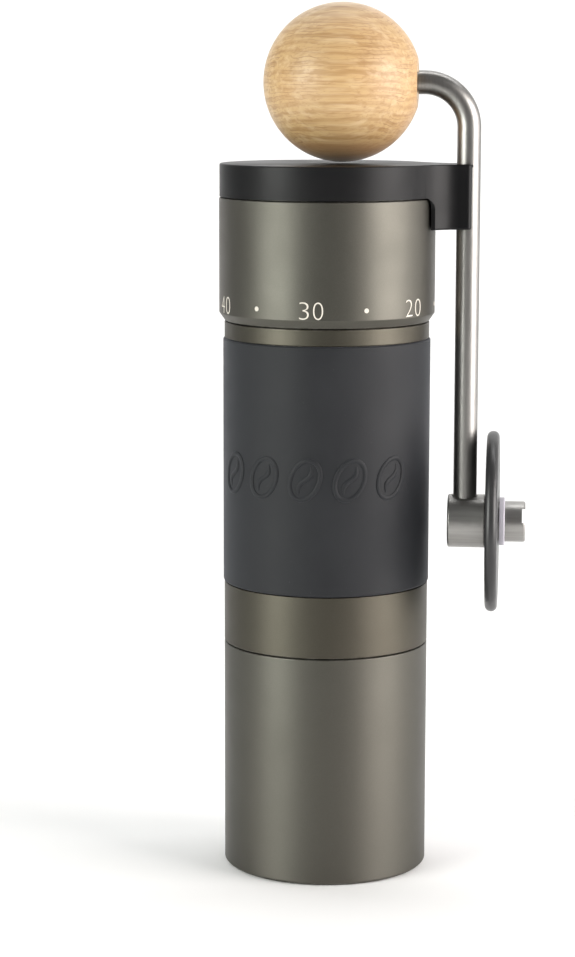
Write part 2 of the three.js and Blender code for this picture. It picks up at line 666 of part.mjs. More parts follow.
function knobClip() {
  return onKnobAxis(named('knob_clip', openRing(2.15, 4.0, 60, -7.65, 0.8), steel()));
}

// -------------------------------------------------------------------------- catch cup

function catchCup() {
  const floorZ = 2.2;
  const insideR = 24.4;
  const cornerR = 4.0;
  const cup = lathe([
    [0, 0], [BODY_R - 0.6, 0], [BODY_R, 0.6], [BODY_R, SEAM_Z - 0.4],
    [BODY_R - 0.25, SEAM_Z - PRESS_GAP], [SPIGOT_R + CLEARANCE, SEAM_Z - PRESS_GAP],
    [SPIGOT_R + CLEARANCE, SPIGOT_BOTTOM_Z - 0.3], [insideR, SPIGOT_BOTTOM_Z - 0.9],
    ...arc(insideR - cornerR, floorZ + cornerR, cornerR, 0, -90, 4), [0, floorZ],
  ]);
  return named('catch_cup', cup, anodisedMetal());
}

// --------------------------------------------------------------------------- assembly

const grinder = new THREE.Group();
grinder.add(bodyShell(), gripSleeve(), outerBurr(), burrClampRing(), cupSealRing());
grinder.add(lowerBearingBracket(), bearing('lower_bearing', LOWER_BEARING_Z), springWasher());
grinder.add(dialRetainingRing());
for (let i = 0; i < ARM_COUNT; i += 1) grinder.add(guidePin(i));
[1, -1].forEach((side, i) => grinder.add(detentBall(i, side), detentSpring(i, side)));
grinder.add(adjustmentDial());
grinder.add(bearingCarrier(), bearing('upper_bearing', UPPER_BEARING_Z), bearingCirclip());
grinder.add(driveShaft(), innerBurr(), burrWasher(), burrNut(), preloadSpring());
grinder.add(storageCap(), capSealRing());
grinder.add(crankRod(), crankHub(), lidDisc(), lidCollar());
grinder.add(knobBall(), knobBush(), knobClip());
grinder.add(catchCup());

export default grinder;
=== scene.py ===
# Looks of a hand crank coffee grinder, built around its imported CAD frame.
# Shapes are worked out in millimetres from the CAD nodes' boxes and made in metres.
import json
import math

import bmesh
import bpy
from mathutils import Matrix, Vector

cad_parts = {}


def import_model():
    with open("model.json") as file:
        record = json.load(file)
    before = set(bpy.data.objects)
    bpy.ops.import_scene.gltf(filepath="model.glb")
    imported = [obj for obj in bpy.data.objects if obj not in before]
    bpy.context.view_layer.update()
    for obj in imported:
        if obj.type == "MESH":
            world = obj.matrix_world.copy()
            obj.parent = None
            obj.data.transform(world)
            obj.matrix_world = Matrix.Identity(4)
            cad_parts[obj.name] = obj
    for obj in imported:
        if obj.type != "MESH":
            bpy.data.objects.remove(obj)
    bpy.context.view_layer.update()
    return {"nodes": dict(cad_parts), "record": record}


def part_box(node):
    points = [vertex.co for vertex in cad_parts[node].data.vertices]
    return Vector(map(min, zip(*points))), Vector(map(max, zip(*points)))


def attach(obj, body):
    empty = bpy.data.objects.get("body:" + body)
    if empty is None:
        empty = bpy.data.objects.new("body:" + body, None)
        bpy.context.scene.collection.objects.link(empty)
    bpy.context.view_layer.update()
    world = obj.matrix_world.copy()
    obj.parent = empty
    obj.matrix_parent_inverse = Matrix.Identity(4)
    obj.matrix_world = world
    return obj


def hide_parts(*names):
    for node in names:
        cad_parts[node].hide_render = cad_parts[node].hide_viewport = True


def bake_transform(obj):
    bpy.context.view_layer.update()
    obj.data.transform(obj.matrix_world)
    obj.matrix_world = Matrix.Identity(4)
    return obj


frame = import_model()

MM = 0.001
FINE = 192                 # sides of a large turned surface
SMALL = 96                 # sides of a small turned surface
ARC_STEP = math.radians(12)
SHARP = math.radians(34)   # steeper edges than this stay crisp
WELD = 2e-6                # metres between points that are one point


# ------------------------------------------------------------------ sizes from the frame

def box_mm(node):
    low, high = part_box(node)
    return low / MM, high / MM


def middle_z(node):
    low, high = box_mm(node)
    return (low.z + high.z) / 2


CUP_LOW, CUP_HIGH = box_mm("catch_cup")
SHELL_LOW, SHELL_HIGH = box_mm("body_shell")
SLEEVE_LOW, SLEEVE_HIGH = box_mm("grip_sleeve")
DIAL_LOW, DIAL_HIGH = box_mm("adjustment_dial")
CAP_LOW, CAP_HIGH = box_mm("storage_cap")
ROD_LOW, ROD_HIGH = box_mm("crank_rod")
HUB_LOW, HUB_HIGH = box_mm("crank_hub")
LID_LOW, LID_HIGH = box_mm("lid_disc")
COLLAR_LOW, COLLAR_HIGH = box_mm("lid_collar")
BALL_LOW, BALL_HIGH = box_mm("knob_ball")

BODY_R = CUP_HIGH.y
SLEEVE_R = SLEEVE_HIGH.y
NECK_R = BODY_R - 0.1
DIAL_R = DIAL_HIGH.y
DIAL_RIM_R = DIAL_R - 2.0
CAP_R = CAP_HIGH.y
SPIGOT_R = BODY_R - 1.55
BURR_SEAT_R = 23.2
THROAT_R = 21.6
HOPPER_R = 23.1
HOPPER_TOP_Z = 145.0
MOUTH_R = 20.4
MOUTH_BOTTOM_Z = 150.0
NECK_TUBE_R = 24.6
SEAL_GROOVE_R = 24.05
SEAL_GROOVE_HALF = 0.7
SNAP_GROOVE_INNER_R = 23.9
SNAP_GROOVE_OUTER_R = 25.9
SNAP_GROOVE_HALF = 0.85
DETENT_GROOVE_R = 25.4
DETENT_GROOVE_HALF = 0.7
DETENT_MOUTH_HALF = 1.3
DIAL_BORE_R = 25.0
THREAD_R = 24.3
THREAD_BOTTOM_Z = 159.0
GAP = 0.3                  # room between neighbouring pieces
DIAL_SHOULDER_Z = DIAL_HIGH.z - 5.7
CAP_SKIRT_Z = DIAL_SHOULDER_Z + 0.3
ROD_R = ROD_HIGH.y
ROD_X = ROD_HIGH.x - ROD_R
KNOB_Z = ROD_HIGH.z - ROD_R
KNOB_R = BALL_HIGH.y
KNOB_X = BALL_LOW.x + KNOB_R
KNOB_FLAT = BALL_HIGH.x - KNOB_X
HUB_R = HUB_HIGH.y
HUB_Z = middle_z("crank_hub")


# ------------------------------------------------------------------------ mesh helpers

def rounded(corners, closed):
    """Outline through [a, b, fillet radius] corners, with each fillet as an arc."""
    points = []
    count = len(corners)
    for i, (a, b, *rest) in enumerate(corners):
        radius = rest[0] if rest else 0.0
        is_end = not closed and i in (0, count - 1)
        here = Vector((a, b))
        if radius <= 0 or is_end:
            points.append(here)
            continue
        before = Vector(corners[i - 1][:2]) - here
        after = Vector(corners[(i + 1) % count][:2]) - here
        angle = before.angle(after)
        reach = min(radius / math.tan(angle / 2), 0.49 * before.length, 0.49 * after.length)
        radius = reach * math.tan(angle / 2)
        before.normalize()
        after.normalize()
        centre = here + (before + after).normalized() * radius / math.sin(angle / 2)
        start = here + before * reach - centre
        sweep = math.pi - angle
        if start.cross(here + after * reach - centre) < 0:
            sweep = -sweep
        steps = max(2, math.ceil(abs(sweep) / ARC_STEP))
        for k in range(steps + 1):
            turn = Matrix.Rotation(sweep * k / steps, 2)
            points.append(centre + turn @ start)
    return points


def mesh_piece(name, points, faces, weighted=True):
    """Object from points in millimetres, smooth-shaded with crisp sharp edges."""
    mesh = bpy.data.meshes.new(name)
    mesh.from_pydata([Vector(p) * MM for p in points], [], faces)
    mesh.validate()
    piece = bpy.data.objects.new(name, mesh)
    bpy.context.scene.collection.objects.link(piece)
    shade(piece, weighted)
    return piece


def shade(piece, weighted=True):
    piece.data.shade_smooth()
    piece.data.set_sharp_from_angle(angle=SHARP)
    if weighted and "normals" not in piece.modifiers:
        normals = piece.modifiers.new("normals", "WEIGHTED_NORMAL")
        normals.keep_sharp = True
        normals.weight = 80


def turned_shape(corners, sides):
    """Points and faces of a profile of [radius, height, fillet] turned about Z."""
    closed = not (corners[0][0] == 0 and corners[-1][0] == 0)
    profile = rounded(corners, closed)
    points, rings, faces = [], [], []
    for r, z in profile:
        if r < 1e-6:
            rings.append([len(points)] * sides)
            points.append((0, 0, z))
            continue
        rings.append(list(range(len(points), len(points) + sides)))
        for k in range(sides):
            angle = 2 * math.pi * k / sides
            points.append((r * math.cos(angle), r * math.sin(angle), z))
    pairs = list(zip(rings, rings[1:] + rings[:1])) if closed else list(zip(rings, rings[1:]))
    for low, high in pairs:
        for k in range(sides):
            n = (k + 1) % sides
            corner_ring = [low[k], low[n], high[n], high[k]]
            face = list(dict.fromkeys(corner_ring))
            if len(face) > 2:
                faces.append(face)
    return points, faces


def lathe(name, corners, sides=FINE):
    return mesh_piece(name, *turned_shape(corners, sides))


def lathe_x(name, corners, x=0.0, z=0.0, sides=SMALL):
    """Profile of [radius, distance along +X, fillet] turned about a level axis."""
    points, faces = turned_shape(corners, sides)
    return mesh_piece(name, [(x + pz, py, z - px) for px, py, pz in points], faces)


def joined(piece, tool, operation):
    """piece joined with tool, or cut by it; tool is used up."""
    change = piece.modifiers.new("change", "BOOLEAN")
    change.operation = operation
    change.solver = "EXACT"
    change.object = tool
    while piece.modifiers[0] != change:
        bpy.context.view_layer.objects.active = piece
        bpy.ops.object.modifier_move_up(modifier="change")
    normals = piece.modifiers.get("normals")
    if normals:
        piece.modifiers.remove(normals)
    depsgraph = bpy.context.evaluated_depsgraph_get()
    mesh = bpy.data.meshes.new_from_object(piece.evaluated_get(depsgraph))
    mesh.name = piece.name
    piece.modifiers.clear()
    piece.data = mesh
    bpy.data.objects.remove(tool)
    return piece


def cleaned(piece):
    """Welds the slivers that a cut can leave, then shades the piece."""
    work = bmesh.new()
    work.from_mesh(piece.data)
    bmesh.ops.remove_doubles(work, verts=work.verts, dist=WELD)
    bmesh.ops.dissolve_degenerate(work, edges=work.edges, dist=WELD)
    work.to_mesh(piece.data)
    work.free()
    shade(piece)
    return piece


def prism(name, outline, low, high, edge=0.0, edge_low=0.0):
    """Upright prism of a smooth closed outline, its rims rounded by edge."""
    levels = []
    for radius, z, upward in ((edge_low, low, False), (edge, high, True)):
        steps = 5 if radius > 0 else 0
        rim = []
        for k in range(steps + 1):
            angle = math.pi / 2 * (k / steps if steps else 0)
            inset = radius * (1 - math.cos(angle))
            drop = radius * (1 - math.sin(angle))
            rim.append((inset, z - drop if upward else z + drop))
        levels += rim if upward else rim[::-1]
    count = len(outline)
    points, faces = [], []
    for inset, z in levels:
        for k, (x, y) in enumerate(outline):
            before, after = Vector(outline[k - 1]), Vector(outline[(k + 1) % count])
            along = (after - before).normalized()
            points.append((x - along.y * inset, y + along.x * inset, z))
    for level in range(len(levels) - 1):
        a, b = level * count, (level + 1) * count
        for k in range(count):
            n = (k + 1) % count
            faces.append([a + k, a + n, b + n, b + k])
    faces.append(list(range(count))[::-1])
    faces.append(list(range((len(levels) - 1) * count, len(levels) * count)))
    return mesh_piece(name, points, faces)


def put(piece, body, material, replaced=()):
    """Hands the piece to the frame: its body, if it has just one, its finish and the CAD
    nodes it stands for."""
    piece.data.materials.clear()
    piece.data.materials.append(material)
    if body is not None:
        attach(piece, body)
    if replaced:
        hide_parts(*replaced)
    return piece


# -------------------------------------------------------------------- material helpers

class Shader:
    """Node material whose patterns are measured in the piece's own metres."""

    def __init__(self, name, color, **sockets):
        self.material = bpy.data.materials.new(name)
        self.material.use_nodes = True
        self.tree = self.material.node_tree
        self.surface = self.tree.nodes["Principled BSDF"]
        self.surface.inputs["Base Color"].default_value = (*color, 1.0)
        for socket, value in sockets.items():
            self.surface.inputs[socket.replace("_", " ")].default_value = value
        self.position = self.node("ShaderNodeTexCoord").outputs["Object"]

    def node(self, kind, inputs=None, **settings):
        made = self.tree.nodes.new(kind)
        for key, value in settings.items():
            setattr(made, key, value)
        for key, value in (inputs or {}).items():
            if isinstance(value, bpy.types.NodeSocket):
                self.tree.links.new(value, made.inputs[key])
            else:
                made.inputs[key].default_value = value
        return made

    def stretched(self, scale):
        mapping = self.node("ShaderNodeMapping", {"Vector": self.position, "Scale": scale})
        return mapping.outputs["Vector"]

    def noise(self, scale, detail=2.0, rough=0.5, distortion=0.0):
        """Noise with scale features a metre, or with a scale for each of X, Y and Z."""
        vector = self.position
        if not isinstance(scale, (int, float)):
            vector, scale = self.stretched(scale), 1.0
        inputs = {"Vector": vector, "Scale": scale, "Detail": detail, "Roughness": rough,
                  "Distortion": distortion}
        return self.node("ShaderNodeTexNoise", inputs).outputs[0]

    def ramp(self, value, low, high, to_low=0.0, to_high=1.0):
        inputs = {"Value": value, "From Min": low, "From Max": high,
                  "To Min": to_low, "To Max": to_high}
        made = self.node("ShaderNodeMapRange", inputs, interpolation_type="SMOOTHSTEP")
        return made.outputs["Result"]

    def math(self, operation, a, b=0.0):
        made = self.node("ShaderNodeMath", {0: a, 1: b}, operation=operation)
        return made.outputs["Value"]

    def mix(self, factor, a, b):
        made = self.node("ShaderNodeMix", data_type="RGBA")
        for index, value in ((0, factor), (6, a), (7, b)):
            if isinstance(value, bpy.types.NodeSocket):
                self.tree.links.new(value, made.inputs[index])
            elif index == 0:
                made.inputs[index].default_value = value
            else:
                made.inputs[index].default_value = (*value, 1.0)
        return made.outputs[2]

    def height_above(self):
        return self.node("ShaderNodeSeparateXYZ", {"Vector": self.position}).outputs["Z"]

    def near_height(self, levels, reach):
        """1 at the given heights in millimetres, fading to 0 at reach millimetres away."""
        z = self.height_above()
        total = None
        for level in levels:
            away = self.math("ABSOLUTE", self.math("SUBTRACT", z, level * MM))
            near = self.ramp(away, 0.0, reach * MM, 1.0, 0.0)
            total = near if total is None else self.math("MAXIMUM", total, near)
        return total

    def bump(self, height, depth, normal=None):
        """Relief of the given depth in metres."""
        inputs = {"Height": height, "Distance": depth, "Strength": 1.0}
        if normal is not None:
            inputs["Normal"] = normal
        return self.node("ShaderNodeBump", inputs).outputs["Normal"]

    def set(self, socket, value):
        self.tree.links.new(value, self.surface.inputs[socket])


def anodised_metal(name, edges, painted_light_and_shade=(1.0, 1.0, 1.0)):
    """Bead-blasted aluminium, anodised in a warm olive grey and worn along its edges. The last
    argument scales every base colour to paint light and shade into this copy: above 1 is
    painted light, below 1 is painted shade.
    """

    # Base colour scaled by this copy's painted light and shade.
    def with_painted_light_and_shade(color):
        return tuple(c * t for c, t in zip(color, painted_light_and_shade))

    shader = Shader(name, (0.105, 0.102, 0.086), Metallic=1.0, Anisotropic=0.4,
                    Anisotropic_Rotation=0.25)
    tone = shader.ramp(shader.noise((22, 22, 9), detail=3), 0.3, 0.7)
    base = shader.mix(tone, with_painted_light_and_shade((0.100, 0.098, 0.084)), with_painted_light_and_shade((0.112, 0.106, 0.091)))
    grains = shader.noise(2600, detail=3, rough=0.7)
    glints = shader.ramp(grains, 0.35, 0.75, 0.0, 0.25)
    base = shader.mix(glints, base, with_painted_light_and_shade((0.145, 0.14, 0.125)))
    if edges:
        worn = shader.near_height(edges, 0.45)
        patchy = shader.ramp(shader.noise(420, detail=4, rough=0.7), 0.42, 0.62)
        worn = shader.math("MULTIPLY", worn, shader.math("MULTIPLY", patchy, 0.3))
        base = shader.mix(worn, base, (0.26, 0.25, 0.23))
    shader.set("Base Color", base)
    smudges = shader.ramp(shader.noise(55, detail=4, rough=0.6), 0.35, 0.7, 0.47, 0.53)
    grainy = shader.ramp(grains, 0.3, 0.8, 0.0, 0.04)
    shader.set("Roughness", shader.math("ADD", smudges, grainy))
    turned = shader.noise((12, 12, 5200), detail=2)
    lines = shader.bump(turned, 0.0000016)
    shader.set("Normal", shader.bump(grains, 0.000006, lines))
    tangent = shader.node("ShaderNodeTangent", direction_type="RADIAL", axis="Z")
    shader.set("Tangent", tangent.outputs["Tangent"])
    return shader.material


def silicone(name="grip_silicone"):
    """Matte charcoal rubber with a breath of dust on it."""
    shader = Shader(name, (0.024, 0.026, 0.030), Specular_IOR_Level=0.24, Sheen_Weight=0.09,
                    Sheen_Roughness=0.5, Sheen_Tint=(0.8, 0.85, 1.0, 1.0))
    cloud = shader.ramp(shader.noise(38, detail=4, rough=0.6), 0.3, 0.7)
    base = shader.mix(cloud, (0.0105, 0.0112, 0.0130), (0.0145, 0.0155, 0.0175))
    fine = shader.noise(3200, detail=2)
    specks = shader.ramp(shader.noise(1500, detail=3, rough=0.75), 0.70, 0.76)
    base = shader.mix(shader.math("MULTIPLY", specks, 0.5), base, (0.10, 0.10, 0.105))
    shader.set("Base Color", base)
    shader.set("Roughness", shader.ramp(cloud, 0.0, 1.0, 0.52, 0.62))
    shader.set("Normal", shader.bump(fine, 0.000012))
    return shader.material


def black_plastic(name="cap_plastic"):
    """Moulded black plastic with a fine satin texture."""
    shader = Shader(name, (0.0050, 0.0050, 0.0056), Specular_IOR_Level=0.19)
    cloud = shader.ramp(shader.noise(70, detail=3), 0.3, 0.7)
    base = shader.mix(cloud, (0.0044, 0.0044, 0.0049), (0.0060, 0.0060, 0.0066))
    specks = shader.ramp(shader.noise(1900, detail=3, rough=0.8), 0.73, 0.78)
    base = shader.mix(shader.math("MULTIPLY", specks, 0.35), base, (0.06, 0.06, 0.06))
    shader.set("Base Color", base)
    texture = shader.noise(2400, detail=2, rough=0.6)
    rough = shader.ramp(shader.noise(45, detail=4), 0.3, 0.7, 0.36, 0.46)
    shader.set("Roughness", rough)
    shader.set("Normal", shader.bump(texture, 0.000010))
    return shader.material


def steel(name, color=(0.32, 0.312, 0.30), low=0.34, high=0.42, grain=(1400, 1400, 60)):
    """Drawn or turned stainless steel, with its fine lines along the given grain."""
    shader = Shader(name, color, Metallic=1.0)
    lines = shader.noise(grain, detail=3, rough=0.6)
    darker = tuple(0.86 * c for c in color)
    shader.set("Base Color", shader.mix(shader.ramp(lines, 0.3, 0.7), darker, color))
    smudges = shader.ramp(shader.noise(120, detail=4, rough=0.65), 0.3, 0.7, low, high)
    shader.set("Roughness", smudges)
    shader.set("Normal", shader.bump(lines, 0.0000007))
    return shader.material


def satin_plastic(name, color, low=0.3, high=0.4):
    """Smooth moulded plastic with slight cloudiness and a few fine specks."""
    shader = Shader(name, color, Specular_IOR_Level=0.5)
    cloud = shader.ramp(shader.noise(90, detail=3), 0.3, 0.7)
    paler = tuple(min(1.0, 1.18 * c) for c in color)
    shader.set("Base Color", shader.mix(cloud, color, paler))
    shader.set("Roughness", shader.ramp(shader.noise(160, detail=4), 0.3, 0.7, low, high))
    shader.set("Normal", shader.bump(shader.noise(1800, detail=2), 0.000006))
    return shader.material


RING_WIDTH = 0.0021        # metres from one broad year ring of the beech to the next
FINE_RING_WIDTH = 0.00092


def beech(name="knob_beech"):
    """Oiled beech: year rings round a distant heart, long pores and short dark flecks,
    with the fibres along X."""
    shader = Shader(name, (0.66, 0.44, 0.23), Specular_IOR_Level=0.5, Coat_Weight=0.22,
                    Coat_Roughness=0.38, Sheen_Weight=0.3, Sheen_Roughness=0.3)
    sway = shader.noise((24, 70, 70), detail=4, rough=0.55)
    split = shader.node("ShaderNodeSeparateXYZ", {"Vector": shader.position})
    across = shader.math("ADD", split.outputs["Y"], 0.018)
    upward = shader.math("ADD", split.outputs["Z"], 0.085 - KNOB_Z * MM)
    square = shader.math("ADD", shader.math("MULTIPLY", across, across),
                         shader.math("MULTIPLY", upward, upward))
    heart = shader.math("SQRT", square)
    heart = shader.math("ADD", heart, shader.math("MULTIPLY", sway, 0.0062))
    wave = shader.math("SINE", shader.math("MULTIPLY", heart, 2 * math.pi / RING_WIDTH))
    late = shader.math("MULTIPLY", shader.ramp(wave, -0.4, 1.0),
                       shader.ramp(shader.noise((30, 190, 190), detail=3), 0.3, 0.7, 0.25, 0.9))
    base = shader.mix(late, (0.505, 0.337, 0.158), (0.352, 0.200, 0.076))
    streaks = shader.noise((55, 1300, 1300), detail=4, rough=0.65, distortion=0.3)
    base = shader.mix(shader.ramp(streaks, 0.46, 0.68, 0.0, 0.62), base, (0.337, 0.186, 0.070))
    rings = shader.math("SINE", shader.math("MULTIPLY", heart, 2 * math.pi / FINE_RING_WIDTH))
    broken = shader.ramp(shader.noise((40, 260, 260), detail=3), 0.40, 0.60, 0.0, 0.8)
    rings = shader.math("MULTIPLY", shader.ramp(rings, 0.72, 0.97), broken)
    base = shader.mix(rings, base, (0.258, 0.130, 0.049))
    pale = shader.noise((45, 620, 620), detail=3, rough=0.6)
    base = shader.mix(shader.ramp(pale, 0.48, 0.74, 0.0, 0.7), base, (0.60, 0.440, 0.258))
    warm = shader.ramp(shader.noise((24, 60, 45), detail=2), 0.40, 0.72, 0.0, 0.45)
    base = shader.mix(warm, base, (0.50, 0.285, 0.12))
    # Painted shade: the bottom of the knob is darkened to a deeper reddish brown below a height
    # that sways with the grain.
    level = shader.math("SUBTRACT", shader.height_above(), KNOB_Z * MM)
    level = shader.math("ADD", level, shader.math("MULTIPLY", sway, 0.006))
    painted_underside_shade = shader.ramp(level, -0.0138, -0.0118, 0.55, 0.0)
    base = shader.mix(painted_underside_shade, base, (0.37, 0.192, 0.085))
    pores = shader.noise((230, 3400, 2600), detail=2, rough=0.5)
    base = shader.mix(shader.ramp(pores, 0.64, 0.70, 0.0, 0.5), base, (0.33, 0.175, 0.07))
    shader.set("Base Color", base)
    shader.set("Roughness", shader.ramp(streaks, 0.3, 0.7, 0.44, 0.56))
    shader.set("Normal", shader.bump(streaks, 0.000012))
    return shader.material


def brass(name="bush_brass"):
    return steel(name, (0.62, 0.45, 0.19), 0.25, 0.35)


def mark_paint(name="dial_mark_paint"):
    """Cream filler of the engraved marks."""
    shader = Shader(name, (0.66, 0.62, 0.55), Specular_IOR_Level=0.3)
    shader.set("Roughness", shader.ramp(shader.noise(900, detail=3), 0.3, 0.7, 0.5, 0.65))
    shader.set("Normal", shader.bump(shader.noise(5000), 0.000004))
    return shader.material


# ------------------------------------------------------------------------- main pieces

def catch_cup():
    floor_z = 2.2
    inside_r = 24.4
    spigot_room = SPIGOT_R + GAP
    return lathe("cup_shell", [
        [0, CUP_LOW.z], [BODY_R - 0.6, CUP_LOW.z, 0.5], [BODY_R, CUP_LOW.z + 0.6, 0.5],
        [BODY_R, CUP_HIGH.z, 0.28], [spigot_room, CUP_HIGH.z, 0.2],
        [spigot_room, SHELL_LOW.z - GAP, 0.1], [inside_r, SHELL_LOW.z - 3 * GAP, 0.3],
        [inside_r, floor_z, 4.0], [0, floor_z],
    ])


def body_shell():
    shoulder = CUP_HIGH.z + GAP
    recess_r = SLEEVE_R - 1.4
    recess_low, recess_high = SLEEVE_LOW.z - 0.2, SLEEVE_HIGH.z + 0.2
    neck_top = DIAL_LOW.z - GAP
    groove = middle_z("dial_retaining_ring")
    groove_low, groove_high = groove - SNAP_GROOVE_HALF, groove + SNAP_GROOVE_HALF
    seal = middle_z("cup_seal_ring")
    seal_low, seal_high = seal - SEAL_GROOVE_HALF, seal + SEAL_GROOVE_HALF
    seat_top = box_mm("outer_burr")[1].z + 0.2
    ledge = box_mm("lower_bearing_bracket")[0].z - GAP
    return lathe("body_tube", [
        [BURR_SEAT_R, SHELL_LOW.z, 0.2], [SPIGOT_R, SHELL_LOW.z, 0.3],
        [SPIGOT_R, seal_low, 0.1], [SEAL_GROOVE_R, seal_low, 0.1],
        [SEAL_GROOVE_R, seal_high, 0.1], [SPIGOT_R, seal_high, 0.1],
        [SPIGOT_R, shoulder, 0.1], [BODY_R, shoulder, 0.28], [BODY_R, recess_low, 0.2],
        [recess_r, recess_low, 0.1], [recess_r, recess_high, 0.1],
        [NECK_R, recess_high, 0.2], [NECK_R, neck_top, 0.3], [NECK_TUBE_R, neck_top, 0.1],
        [NECK_TUBE_R, groove_low], [SNAP_GROOVE_INNER_R, groove_low],
        [SNAP_GROOVE_INNER_R, groove_high], [NECK_TUBE_R, groove_high],
        [NECK_TUBE_R, SHELL_HIGH.z, 0.3], [MOUTH_R, SHELL_HIGH.z, 0.4],
        [MOUTH_R, MOUTH_BOTTOM_Z, 1.0], [HOPPER_R, HOPPER_TOP_Z, 1.0],
        [HOPPER_R, ledge, 0.1], [THROAT_R, ledge, 0.2], [THROAT_R, seat_top, 0.2],
        [BURR_SEAT_R, seat_top, 0.1],
    ])


def grip_sleeve():
    inside_r = SLEEVE_R - 1.15
    return lathe("sleeve_skin", [
        [inside_r, SLEEVE_LOW.z, 0.2], [SLEEVE_R, SLEEVE_LOW.z, 0.45],
        [SLEEVE_R, SLEEVE_HIGH.z, 0.45], [inside_r, SLEEVE_HIGH.z, 0.2],
    ])


# Raised coffee beans on the sleeve, in a row round its front.
BEAN_COUNT = 5
BEAN_PITCH = 11.4
BEAN_HALF_WIDTH = 3.6
BEAN_HALF_HEIGHT = 5.2
BEAN_ROW_Z = SLEEVE_LOW.z + 29.5
BEAN_ROW_ANGLE = math.radians(-97)
BEAN_TILT = math.radians(-24)
LINE_HALF_WIDTH = 0.62
LINE_RISE = 0.34


def raised_line(path, closed, angle, height):
    """Soft-edged raised line along a flat path that is bent round the sleeve."""
    section = [(-1.0, -0.3), (-0.86, 0.45), (-0.45, 0.9), (0.0, 1.0), (0.45, 0.9), (0.86, 0.45),
               (1.0, -0.3)]
    wide = len(section)
    points, faces = [], []
    last = len(path) - 1
    for k, here in enumerate(path):
        before = path[k - 1] if closed or k > 0 else path[0]
        after = path[(k + 1) % len(path)] if closed or k < last else path[last]
        across = Vector((before[1] - after[1], after[0] - before[0])).normalized()
        taper = 1.0 if closed else min(1.0, 0.35 + 2.6 * min(k, last - k) / last)
        for side, rise in section:
            u = here[0] + across.x * side * LINE_HALF_WIDTH * taper
            v = here[1] + across.y * side * LINE_HALF_WIDTH * taper
            r = SLEEVE_R + LINE_RISE * rise * (taper if rise > 0 else 1.0)
            turn = angle + u / SLEEVE_R
            points.append((r * math.cos(turn), r * math.sin(turn), height + v))
    for k in range(len(path) if closed else last):
        a, b = k * wide, (k + 1) % len(path) * wide
        for j in range(wide):
            n = (j + 1) % wide
            faces.append([a + j, a + n, b + n, b + j])
    if not closed:
        faces += [list(range(wide))[::-1], list(range(last * wide, (last + 1) * wide))]
    return points, faces


def bean_lines():
    """Outline of a bean and the wavy crease down its middle, round its own centre."""
    tilt = Matrix.Rotation(BEAN_TILT, 2)
    rim_steps, crease_steps = 56, 24
    rim = [tilt @ Vector((BEAN_HALF_WIDTH * math.cos(t), BEAN_HALF_HEIGHT * math.sin(t)))
           for t in (2 * math.pi * k / rim_steps for k in range(rim_steps))]
    crease = []
    for k in range(crease_steps + 1):
        t = -1 + 2 * k / crease_steps
        sway = 0.22 * BEAN_HALF_WIDTH * math.sin(math.pi * t)
        crease.append(tilt @ Vector((sway, 0.74 * BEAN_HALF_HEIGHT * t)))
    return rim, crease


def sleeve_relief():
    rim, crease = bean_lines()
    points, faces = [], []
    for k in range(BEAN_COUNT):
        angle = BEAN_ROW_ANGLE + (k - (BEAN_COUNT - 1) / 2) * BEAN_PITCH / SLEEVE_R
        for path, closed in ((rim, True), (crease, False)):
            start = len(points)
            more, more_faces = raised_line(path, closed, angle, BEAN_ROW_Z)
            points += more
            faces += [[start + i for i in face] for face in more_faces]
    return mesh_piece("sleeve_beans", points, faces, weighted=False)


def adjustment_dial():
    groove = middle_z("dial_retaining_ring")
    groove_low, groove_high = groove - SNAP_GROOVE_HALF, groove + SNAP_GROOVE_HALF
    detent = middle_z("detent_ball_1")
    return lathe("dial_ring", [
        [DIAL_BORE_R, DIAL_LOW.z, 0.1], [DIAL_R - 1.4, DIAL_LOW.z, 0.15],
        [DIAL_R, DIAL_LOW.z + 2.0, 0.5], [DIAL_R, DIAL_SHOULDER_Z, 0.35],
        [DIAL_RIM_R, DIAL_SHOULDER_Z, 0.15], [DIAL_RIM_R, DIAL_HIGH.z, 0.35],
        [THREAD_R, DIAL_HIGH.z, 0.3], [THREAD_R, THREAD_BOTTOM_Z, 0.1],
        [DIAL_BORE_R, THREAD_BOTTOM_Z - 0.3, 0.1],
        [DIAL_BORE_R, detent + DETENT_MOUTH_HALF],
        [DETENT_GROOVE_R, detent + DETENT_GROOVE_HALF],
        [DETENT_GROOVE_R, detent - DETENT_GROOVE_HALF],
        [DIAL_BORE_R, detent - DETENT_MOUTH_HALF],
        [DIAL_BORE_R, groove_high], [SNAP_GROOVE_OUTER_R, groove_high],
        [SNAP_GROOVE_OUTER_R, groove_low], [DIAL_BORE_R, groove_low],
    ])


# Dial marks: a numeral every sixth of a turn, rising clockwise from above, with a dot
# half-way between two numerals.
MARK_Z = DIAL_LOW.z + 4.45
NUMERAL_HEIGHT = 4.3
DIGIT_WIDTH = 2.5
NARROW_DIGIT = 0.64
DIGIT_GAP = 1.05
DOT_R = 0.6
FRONT_NUMERAL = 30
FRONT_ANGLE = math.radians(-93.6)
DOT_TURN = math.radians(31)
RAISED = 0.035             # how far the filler stands proud of the dial
SUNK = 0.25                # and how deep it goes into it
STROKE_OFFSET = -0.022     # thins the digits, in digit heights
NUMERAL_STEPS = 6
CLICKS_APART = 10


